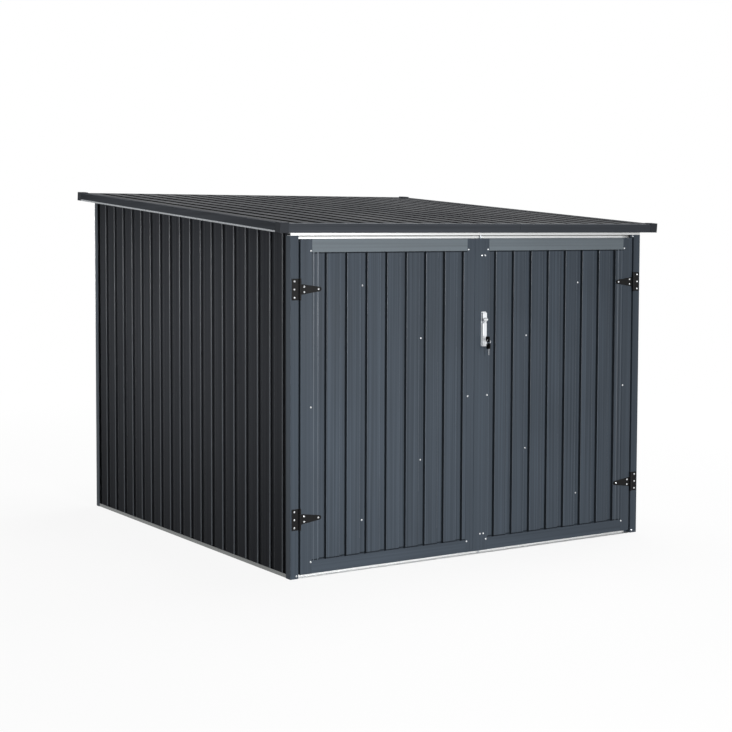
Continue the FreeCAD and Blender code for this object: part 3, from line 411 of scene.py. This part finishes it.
def round_folds(bm, gauge, radius, segments, highlight_index=-1):
    """Rounds a sheet's folds: outside by the radius and the gauge, inside by the radius."""
    least_fold, widest_rim = math.radians(25), 1.7 * gauge
    outer, inner = [], []
    for edge in bm.edges:
        if len(edge.link_faces) != 2:
            continue
        angle = edge.calc_face_angle_signed()
        if abs(angle) < least_fold:
            continue
        if min(thickness_of(f) for f in edge.link_faces) < widest_rim:
            continue
        (outer if angle > 0 else inner).append(edge)
    for edges, size, index in ((outer, radius + gauge, highlight_index), (inner, radius, -1)):
        edges = [e for e in edges if e.is_valid]
        if edges:
            rounded(bm, edges, size, segments, index)


def folded(node, gauge, materials, bend, sheet, shape=None, highlight_index=-1):
    """Folded or ribbed sheet piece with rounded bends, shaped further where that is asked.

    The outer faces of the bends get the material at the index given last; on the walls and doors
    its lighter colour paints a highlight along each bend.
    """
    bm = whole_faces(node)
    round_folds(bm, gauge, bend, sheet.segments, highlight_index)
    if shape:
        shape(bm)
    return finished(smoothed(node + "_folded", bm), node, *materials)


def cut(bm, place, normal):
    """Divides a mesh's faces along a plane."""
    bmesh.ops.bisect_plane(bm, geom=bm.verts[:] + bm.edges[:] + bm.faces[:], plane_co=place,
                           plane_no=normal)


def hem(bm, sheet):
    """Doubled hem along a side trim's lower edge, in the piece's second material, whose light
    colour paints a highlight along it.
    """
    up = Vector((0, -math.sin(sheet.roof_fall), math.cos(sheet.roof_fall)))
    top = min(v.co.dot(up) for v in bm.verts) + sheet.hem_height
    for height in (top, top + sheet.hem_rise):
        cut(bm, up * height, up)
    for face in bm.faces:
        if face.calc_center_median().dot(up) < top:
            face.material_index = 1
    for vert in bm.verts:
        if vert.co.dot(up) < top + TOUCH:
            vert.co.x += math.copysign(sheet.hem_rise, vert.co.x)


def shade_rib_walls(bm):
    """Gives the ribs' steep walls the piece's second material, a near-black painted shade."""
    steep = 0.5
    for face in bm.faces:
        if abs(face.normal.x) > steep:
            face.material_index = 1


def board_faces(bm, sheet, sign):
    """The third material, a dark painted shade, on the grooves' walls and as a painted shadow
    along the rails; beads in the outermost board.
    """
    # A bend, which has the second material, counts as a wall only where it is nearly upright.
    least_slope = (0.3, 0.75)
    # Steep faces get the third material: painted shade on the grooves' walls.
    for face in bm.faces:
        if abs(face.normal.x) > least_slope[face.material_index]:
            face.material_index = 2
    rails = [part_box("door_%s_rail_%s" % (end, SIDES[sign > 0])) for end in ("top", "bottom")]
    # Dark strips next to the top and bottom rails, in the third material: painted shadow along the
    # rails.
    for low, high in ((rails[0][0][2] - sheet.joint, rails[0][0][2]),
                      (rails[1][1][2], rails[1][1][2] + sheet.joint)):
        for height in (low, high):
            cut(bm, (0, 0, height), (0, 0, 1))
        for face in bm.faces:
            if low < face.calc_center_median().z < high:
                face.material_index = 2
    for place in sheet.bead_place:
        x = place * sign
        for offset in (-0.5, 0, 0.5):
            cut(bm, (x + offset * sheet.bead_width, 0, 0), (1, 0, 0))
        for vert in bm.verts:
            if abs(vert.co.x - x) < TOUCH:
                vert.co.y -= sheet.hem_rise
        # The beads take the second material, whose lighter colour paints a highlight on them.
        for face in bm.faces:
            if abs(face.calc_center_median().x - x) < 0.5 * sheet.bead_width:
                face.material_index = 1


def shade_under_fold(bm, height):
    """Gives the top of the rail's stop lip, just under its fold, the piece's second material: a
    grey painted shadow.
    """
    # The lip stands behind the rail's face, and its fold lies below the back of the roof's seat.
    face_y, seat_rise = -0.9, 39 * MM
    fold = max(v.co.z for v in bm.verts if v.co.y > face_y) - seat_rise
    cut(bm, (0, 0, fold - height), (0, 0, 1))
    for face in bm.faces:
        middle = face.calc_center_median()
        if face.normal.y < -0.9 and fold - height < middle.z < fold + MM and middle.y > face_y:
            face.material_index = 1


def eased(node, radius, material, sharp=40):
    """Solid piece with its sharp edges softened."""
    bm = whole_faces(node)
    edges = [e for e in bm.edges
             if len(e.link_faces) == 2 and e.calc_face_angle() > math.radians(sharp)]
    rounded(bm, edges, radius, 2)
    return finished(smoothed(node + "_eased", bm, sharp), node, material)


def islands(node):
    """Lowest and highest corner of each separate solid in a node."""
    bm = welded(node)
    left = set(bm.verts)
    boxes = []
    while left:
        seen = {left.pop()}
        rim = list(seen)
        while rim:
            for edge in rim.pop().link_edges:
                for vert in edge.verts:
                    if vert in left:
                        left.remove(vert)
                        seen.add(vert)
                        rim.append(vert)
        points = [v.co for v in seen]
        low = Vector([min(p[i] for p in points) for i in range(3)])
        high = Vector([max(p[i] for p in points) for i in range(3)])
        boxes.append((low, high))
    bm.free()
    return boxes


# Levels of a pan head with its cross recess: shares of the head's radius and height, and how
# deep the recess lies there, in millimetres
DOME = ((0.10, 1.00, 1.3), (0.17, 0.99, 1.2), (0.30, 0.97, 1.1), (0.42, 0.94, 1.0),
        (0.52, 0.90, 0.7), (0.58, 0.87, 0.0), (0.78, 0.72, 0.0), (0.92, 0.48, 0.0),
        (1.00, 0.18, 0.0), (1.00, 0.0, 0.0))
RECESS_HALF_WIDTH = 0.55 * MM
SHANK_RADIUS, TIP_RADIUS = 1.9 * MM, 1.2 * MM
THREAD_RADII = 1.6 * MM, 1.95 * MM
THREAD_LEVELS = 10


def rings(bm, centre, levels, turn, count=24):
    """Skin over rings round the Y axis; a level is a radius, a depth and a recess depth."""
    c, s = math.cos(turn), math.sin(turn)
    rows = []
    for radius, depth, recess in levels:
        row = []
        for k in range(count):
            angle = 2 * math.pi * k / count
            x, z = radius * math.cos(angle), radius * math.sin(angle)
            sunk = recess if min(abs(x), abs(z)) < RECESS_HALF_WIDTH else 0.0
            row.append(bm.verts.new(centre + Vector((x * c - z * s, depth + sunk, x * s + z * c))))
        rows.append(row)
    for upper, lower in zip(rows, rows[1:]):
        for k in range(count):
            j = (k + 1) % count
            bm.faces.new((upper[k], upper[j], lower[j], lower[k]))
    bm.faces.new(rows[0][::-1])
    bm.faces.new(rows[-1])


def screws(node, sheet, material):
    """Pan-head screws with a cross recess and a threaded shank, where the node has its screws."""
    bm = bmesh.new()
    radius, height = sheet.screw_radius, sheet.screw_height
    for number, (low, high) in enumerate(sorted(islands(node), key=lambda b: tuple(b[0]))):
        centre = Vector(((low.x + high.x) / 2, low.y + height, (low.z + high.z) / 2))
        levels = [(r * radius, -h * height, d * MM) for r, h, d in DOME]
        shank = high.y - centre.y
        levels.append((SHANK_RADIUS, 0.0, 0.0))
        for k in range(1, THREAD_LEVELS):
            levels.append((THREAD_RADII[k % 2], shank * k / (THREAD_LEVELS + 1), 0.0))
        levels.append((TIP_RADIUS, shank, 0.0))
        # Each recess is turned on from the last one by 37 degrees, as if driven by hand.
        rings(bm, centre, levels, math.radians(37 * number % 90))
    bmesh.ops.recalc_face_normals(bm, faces=bm.faces[:])
    return finished(smoothed(node + "_pan_heads", bm, 50), node, material)


# Studio

def seen_ray(tree):
    """One for the camera's rays and for mirrored and refracted ones, else nought."""
    rays = add(tree, "ShaderNodeLightPath").outputs
    total = rays["Is Camera Ray"]
    for name in ("Is Glossy Ray", "Is Transmission Ray"):
        total = add(tree, "ShaderNodeMath", {0: total, 1: rays[name]},
                    operation="MAXIMUM").outputs[0]
    return total


def white_world(stage):
    """White behind the object; dimmer for the light that it sends."""
    world = bpy.data.worlds.new("White surroundings")
    world.use_nodes = True
    tree = world.node_tree
    strength = add(tree, "ShaderNodeMapRange", {"Value": seen_ray(tree), "To Min": stage.sky})
    tree.links.new(strength.outputs["Result"], tree.nodes["Background"].inputs["Strength"])
    tree.nodes["Background"].inputs["Color"].default_value = (1, 1, 1, 1)
    return world


def white_floor(stage):
    """Pale matt floor that keeps the shadow and turns to the white of the surroundings far out."""
    material, tree, bsdf = shader("Matt pale studio floor", Roughness=1.0)
    tone = stage.floor_tone
    bsdf.inputs["Base Color"].default_value = (tone, tone, tone, 1)
    bsdf.inputs["Specular IOR Level"].default_value = 0.0
    seen = seen_ray(tree)
    lift = add(tree, "ShaderNodeMapRange", {"Value": seen, "To Max": 1 - tone})
    glow = add(tree, "ShaderNodeEmission", {"Strength": lift.outputs["Result"]})
    near = add(tree, "ShaderNodeAddShader", {0: bsdf.outputs[0], 1: glow.outputs[0]})
    level = add(tree, "ShaderNodeMapRange", {"Value": seen, "To Min": stage.sky})
    far = add(tree, "ShaderNodeEmission", {"Strength": level.outputs["Result"]})
    place = add(tree, "ShaderNodeTexCoord").outputs["Object"]
    distance = add(tree, "ShaderNodeVectorMath", {0: place}, operation="LENGTH")
    own_reach = 0.35 * stage.floor_reach
    fade = add(tree, "ShaderNodeMapRange", {"Value": distance.outputs["Value"],
                                            "From Min": own_reach,
                                            "From Max": stage.floor_reach})
    both = add(tree, "ShaderNodeMixShader", {0: fade.outputs["Result"], 1: near.outputs[0],
                                             2: far.outputs[0]})
    tree.links.new(both.outputs[0], tree.nodes["Material Output"].inputs["Surface"])
    return material


# Operators, one for each group of pieces

class LOCKER_OT_walls(bpy.types.Operator):
    """Ribbed wall sheets with rounded bends"""
    bl_idname = "locker.walls"
    bl_label = "Walls"

    def execute(self, context):
        paint, sheet = context.scene.locker_paint, context.scene.locker_sheet
        # Coil-coated steel, roll formed: satin, with long streaks that show where light grazes it.
        wall = coated("Powder coating on the wall sheets", paint.wall, paint, gloss=0.004)
        # Over the bends a lighter colour paints the highlight that each rib's rounded edge
        # catches: a pale line on each rib. The extra gloss there is real.
        bend = coated("Painted highlight on the wall bends", paint.wall_bend_highlight, paint, gloss=0.3,
                      rough=POLISHED)
        for side in SIDES + ("back",):
            folded("wall_sheet_" + side, RIBBED, (wall, bend), sheet.rib_bend, sheet, highlight_index=1)
        return {"FINISHED"}


class LOCKER_OT_roof(bpy.types.Operator):
    """Ribbed roof sheet, its trims, corner caps and purlins"""
    bl_idname = "locker.roof"
    bl_label = "Roof"

    def execute(self, context):
        paint, sheet = context.scene.locker_paint, context.scene.locker_sheet
        # The same coating darker, rolled from front to back: pale only where it is seen edge on.
        roof = coated("Powder coating on the roof sheet", paint.roof, paint, "Y", gloss=0.011,
                      rough=(0.36, 0.46), tint=0.10)
        # The ribs' walls are painted near black and matt: painted shade beside the pale tops.
        wall = coated("Painted shade on the roof ribs' walls", paint.roof_rib_shade, paint, "Y",
                      gloss=0.0, rough=MATT)
        folded("roof_sheet", RIBBED, (roof, wall), sheet.roof_bend, sheet, shade_rib_walls)
        # Folded trims: smooth faces, satin on the cross trims and matt on the side trims. The side
        # trims are a lighter grey than the cross trims: painted light on the roof's shaded sides.
        cross = coated("Powder coating on the cross trims", paint.brow, paint, "X", gloss=0.05)
        along = coated("Powder coating on the side trims", paint.trim, paint, "Y", gloss=0.0,
                       rough=MATT)
        for side in ("front", "back"):
            folded("roof_trim_" + side, FOLDED, (cross,), sheet.fold_bend, sheet)
        # The doubled hem gets a light zinc grey: a painted highlight along the hem's bend, a thin
        # bright line under the dark face.
        bare = zinc("Painted highlight along the hems of the side trims", paint.hem, spangle=0.03, metallic=0.5)
        for side in SIDES:
            folded("roof_trim_" + side, FOLDED, (along, bare), sheet.fold_bend, sheet,
                   lambda bm: hem(bm, sheet))
        # Moulded ABS: duller than the coated steel beside it.
        cap = plastic("Moulded ABS of the corner caps", paint.cap, (0.5, 0.65))
        eased("roof_corner_caps", 0.8 * MM, cap)
        # Zinc left bare under the roof: dull, with small crystals.
        dull = zinc("Dull zinc of the purlins", paint.inner)
        folded("roof_purlins", HEAVY, (dull,), sheet.fold_bend, sheet)
        return {"FINISHED"}


class LOCKER_OT_frame(bpy.types.Operator):
    """Posts, rails and threshold"""
    bl_idname = "locker.frame"
    bl_label = "Frame"

    def execute(self, context):
        paint, sheet = context.scene.locker_paint, context.scene.locker_sheet
        # Powder coating on the posts: satin, streaked from foot to head.
        post = coated("Powder coating on the posts", paint.door, paint, gloss=0.12)
        for side in SIDES:
            folded("front_post_" + side, HEAVY, (post,), sheet.fold_bend, sheet)
            folded("back_post_" + side, HEAVY, (post,), sheet.fold_bend, sheet)
        # Fresh bright zinc: nearly white where it mirrors the surroundings, grey in shade.
        bright = zinc("Bright zinc of the doorway rails", paint.rail, spangle=0.01, metallic=0.35,
                      rough=(0.30, 0.32))
        folded("threshold", HEAVY, (bright,), sheet.fold_bend, sheet)
        # Under the fold over the stop lip a grey band paints the fold's shadow: a grey line
        # between two white bands.
        fold_shadow = zinc("Painted shadow in the top rail's fold", paint.fold, spangle=0.02, metallic=0.0,
                   rough=MATT)
        folded("top_rail_front", HEAVY, (bright, fold_shadow), sheet.fold_bend, sheet,
               lambda bm: shade_under_fold(bm, 5 * MM))
        # The same zinc with more of its crystals showing, in the shade of the overhang.
        lip = zinc("Zinc of the side and back top rails", paint.rail, spangle=0.04, metallic=0.6)
        for node in ("top_rail_left", "top_rail_right", "top_rail_back"):
            folded(node, HEAVY, (lip,), sheet.fold_bend, sheet)
        # Darker zinc on the rails that stand on the ground and on the girts, with small crystals:
        # painted shade on the base rails, and the girts' dull grey.
        dull = zinc("Dull zinc of the base rails and girts", paint.inner)
        for node in ("base_rail_left", "base_rail_right", "base_rail_back", "mid_rail_left",
                     "mid_rail_right", "mid_rail_back"):
            folded(node, HEAVY, (dull,), sheet.fold_bend, sheet)
        return {"FINISHED"}


class LOCKER_OT_doors(bpy.types.Operator):
    """Door sheets, stiles, rails, cover strip and braces"""
    bl_idname = "locker.doors"
    bl_label = "Doors"

    def execute(self, context):
        paint, sheet = context.scene.locker_paint, context.scene.locker_sheet
        # Slate blue-grey powder coating, satin: streaked boards that mirror soft bands of light.
        board = coated("Powder coating on the door sheets", paint.door, paint, tint=0.32)
        # Over the bends a lighter colour paints the highlight that each rounded edge catches: a
        # fine pale line by the grooves. The extra gloss there is real.
        bend = coated("Painted highlight on the door bends", paint.door_bend_highlight, paint, gloss=0.4,
                      rough=POLISHED)
        # The grooves' steep walls get a dark colour, matt: painted shade between the boards.
        groove_shade = coated("Painted shade on the door grooves", paint.groove_shade, paint, gloss=0.02)
        # Folded channels round the boards: plain faces, streaked along their length.
        stile = coated("Powder coating on the door stiles", paint.door, paint)
        rail = coated("Powder coating on the door rails", paint.door, paint, "X")
        # The top rails get a lighter grey than the boards: painted light where light falls on the
        # doors' tops, beside the bright zinc over the doorway. The extra gloss is real.
        top = coated("Coating on the doors' top rails, lightened as painted light", paint.top_rail_lit, paint, "X",
                     gloss=0.25)
        for side, sign in zip(SIDES, (-1, 1)):
            folded("door_sheet_" + side, RIBBED, (board, bend, groove_shade), sheet.board_bend, sheet,
                   lambda bm: board_faces(bm, sheet, sign), highlight_index=1)
            for name, material in (("hinge_stile_", stile), ("meeting_stile_", stile),
                                   ("bottom_rail_", rail), ("top_rail_", top)):
                folded("door_" + name + side, FOLDED, (material,), sheet.fold_bend, sheet)
        eased("door_cover_strip", 0.4 * MM, stile)
        # Flat bars cut from dull zinc sheet: even mid grey, with small crystals.
        bar = zinc("Zinc of the door braces", paint.inner)
        for side in SIDES:
            eased("door_braces_" + side, 0.4 * MM, bar)
        return {"FINISHED"}


class LOCKER_OT_hinges(bpy.types.Operator):
    """Leaves, straps and pins of the four hinges"""
    bl_idname = "locker.hinges"
    bl_label = "Hinges"

    def execute(self, context):
        paint = context.scene.locker_paint
        # Black coating on pressed steel: a little rough, pale only along the pressed edges.
        black = coated("Black coating on the hinges", paint.hinge, paint, gloss=0.12,
                       rough=(0.38, 0.5))
        for node in ("hinge_leaves", "hinge_pins", "hinge_straps_left", "hinge_straps_right"):
            eased(node, 0.4 * MM, black)
        return {"FINISHED"}


class LOCKER_OT_screws(bpy.types.Operator):
    """Pan-head screws of the frame and the doors"""
    bl_idname = "locker.screws"
    bl_label = "Screws"

    def execute(self, context):
        paint, sheet = context.scene.locker_paint, context.scene.locker_sheet
        # Bright zinc plating on turned steel: small white sparks on the dark coating.
        plated = metal("Bright zinc plating on the screws", paint.screw, (0.22, 0.4))
        for node in ("frame_screws", "door_screws_left", "door_screws_right"):
            screws(node, sheet, plated)
        eased("handle_nuts", 0.3 * MM, plated)
        return {"FINISHED"}


class LOCKER_OT_handle(bpy.types.Operator):
    """Swing handle with its lock"""
    bl_idname = "locker.handle"
    bl_label = "Handle"

    def execute(self, context):
        paint = context.scene.locker_paint
        # Die-cast zinc under a satin silver coating: near white, with soft grey turns.
        silver = metal("Silver coating on the die-cast handle", paint.handle, (0.28, 0.4),
                       metallic=0.45)
        for node in ("handle_plate", "handle_hub", "handle_lever"):
            eased(node, 0.6 * MM, silver)
        # Polished chrome on the plug and ground steel on the pin: small hard glints.
        eased("lock_plug", 0.4 * MM, metal("Chrome on the lock plug", paint.plug, (0.06, 0.12)))
        eased("lever_pin", 0.2 * MM, metal("Ground steel of the pin", paint.steel, (0.18, 0.3)))
        return {"FINISHED"}


class LOCKER_OT_keys(bpy.types.Operator):
    """Key in the lock, and the spare key on its ring"""
    bl_idname = "locker.keys"
    bl_label = "Keys"

    def execute(self, context):
        paint = context.scene.locker_paint
        # Nickel plating on stamped steel and drawn wire: bright, a little warmer than chrome.
        steel = metal("Nickel-plated steel of keys and ring", paint.steel, (0.18, 0.3))
        # Black ABS with the matt texture of its mould: nearly no highlight.
        black = plastic("Black moulded ABS of the key bows", paint.key)
        for node in ("key_blade", "spare_key_blade"):
            eased(node, 0.2 * MM, steel)
        for node in ("key_bow", "spare_key_bow"):
            eased(node, 0.8 * MM, black)
        finished(smoothed("key_ring_wire", whole_faces("key_ring"), 60), "key_ring", steel)
        return {"FINISHED"}


class LOCKER_OT_rods(bpy.types.Operator):
    """Locking rods, their guides and the cam that draws them"""
    bl_idname = "locker.rods"
    bl_label = "Rods"

    def execute(self, context):
        paint = context.scene.locker_paint
        # Zinc plating on cut steel: grey satin, brushed along the rods.
        rod = metal("Zinc plating on the rods", paint.rod, (0.3, 0.45), brush=(1, 1, 0.05))
        cam = metal("Zinc plating on the cam", paint.rod, (0.3, 0.45))
        for node, material in (("rod_top", rod), ("rod_bottom", rod), ("rod_cam", cam),
                               ("rod_guides", cam)):
            eased(node, 0.3 * MM, material)
        return {"FINISHED"}


class LOCKER_OT_studio(bpy.types.Operator):
    """Camera of the photograph, pale floor and soft light"""
    bl_idname = "locker.studio"
    bl_label = "Studio"

    def execute(self, context):
        stage = context.scene.locker_stage
        data = bpy.data.cameras.new("Camera")
        camera = bpy.data.objects.new("Camera", data)
        context.scene.collection.objects.link(camera)
        camera.location = stage.camera
        camera.rotation_euler = (math.pi / 2 - stage.pitch, 0, -stage.yaw)
        data.sensor_width = 36
        data.lens = data.sensor_width * stage.focal_px / stage.frame_px
        data.shift_x = 0.5 - stage.centre_px[0] / stage.frame_px
        data.shift_y = stage.centre_px[1] / stage.frame_px - 0.5
        data.clip_end = 200
        context.scene.camera = camera

        bm = bmesh.new()
        bmesh.ops.create_circle(bm, cap_ends=True, radius=10 * stage.floor_reach, segments=96)
        mesh = bpy.data.meshes.new("floor")
        bm.to_mesh(mesh)
        bm.free()
        floor = bpy.data.objects.new("floor", mesh)
        context.scene.collection.objects.link(floor)
        floor.location.z = -0.5 * MM
        floor.data.materials.append(white_floor(stage))
        context.scene.world = white_world(stage)
        context.scene.view_settings.view_transform = "Standard"

        # Name, place, aim, width and height, spread in degrees, power. Apart from the one over
        # the roof they hang low, so that the roof mirrors little of them.
        lamps = (
            ("Key", (-1.6, -7.0, 1.6), (-0.75, -0.9, 0.15), (1.0, 1.2), 60, stage.key_power),
            ("Gloss", (3.2, -9.6, 0.95), (0, -0.9, 0.75), (1.2, 1.5), 180, stage.gloss_power),
            ("Top", (1.6, 0.6, 6.6), (0, 0.2, 1.4), (4.0, 4.0), 180, stage.top_power),
            ("Left", (-3.6, 0.3, 1.15), (-0.9, 0.1, 0.95), (2.2, 0.5), 56, stage.left_power),
            ("Right", (7.6, 1.6, 1.1), (0.9, 0, 0.8), (2.4, 1.2), 180, stage.back_power),
            ("Back", (0.3, 8.6, 1.1), (0, 0.9, 0.8), (2.4, 1.2), 180, stage.back_power),
        )
        for name, place, aim, size, spread, power in lamps:
            light = bpy.data.lights.new(name, "AREA")
            light.shape = "RECTANGLE"
            light.energy = power
            light.size, light.size_y = size
            light.spread = math.radians(spread)
            lamp = bpy.data.objects.new(name, light)
            context.scene.collection.objects.link(lamp)
            lamp.location = place
            way = Vector(aim) - Vector(place)
            lamp.rotation_euler = way.to_track_quat("-Z", "Y").to_euler()
        return {"FINISHED"}


class LOCKER_PT_panel(bpy.types.Panel):
    bl_idname = "LOCKER_PT_panel"
    bl_label = "Bicycle locker"
    bl_space_type = "VIEW_3D"
    bl_region_type = "UI"
    bl_category = "Locker"

    def draw(self, context):
        layout = self.layout
        for operator in OPERATORS:
            layout.operator(operator.bl_idname)
        for group in (context.scene.locker_paint, context.scene.locker_sheet,
                      context.scene.locker_stage):
            box = layout.box()
            for name in group.__annotations__:
                box.prop(group, name)


GROUPS = {"locker_paint": LockerPaint, "locker_sheet": LockerSheet, "locker_stage": LockerStage}
OPERATORS = (LOCKER_OT_walls, LOCKER_OT_roof, LOCKER_OT_frame, LOCKER_OT_doors, LOCKER_OT_hinges,
             LOCKER_OT_screws, LOCKER_OT_handle, LOCKER_OT_keys, LOCKER_OT_rods, LOCKER_OT_studio)
CLASSES = tuple(GROUPS.values()) + OPERATORS + (LOCKER_PT_panel,)


def register():
    for cls in CLASSES:
        bpy.utils.register_class(cls)
    for name, group in GROUPS.items():
        setattr(bpy.types.Scene, name, PointerProperty(type=group))


def unregister():
    for name in GROUPS:
        delattr(bpy.types.Scene, name)
    for cls in reversed(CLASSES):
        bpy.utils.unregister_class(cls)


def main():
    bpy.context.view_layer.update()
    register()
    bpy.ops.locker.walls()
    bpy.ops.locker.roof()
    bpy.ops.locker.frame()
    bpy.ops.locker.doors()
    bpy.ops.locker.hinges()
    bpy.ops.locker.screws()
    bpy.ops.locker.handle()
    bpy.ops.locker.keys()
    bpy.ops.locker.rods()
    bpy.ops.locker.studio()


if __name__ == "__main__":
    main()
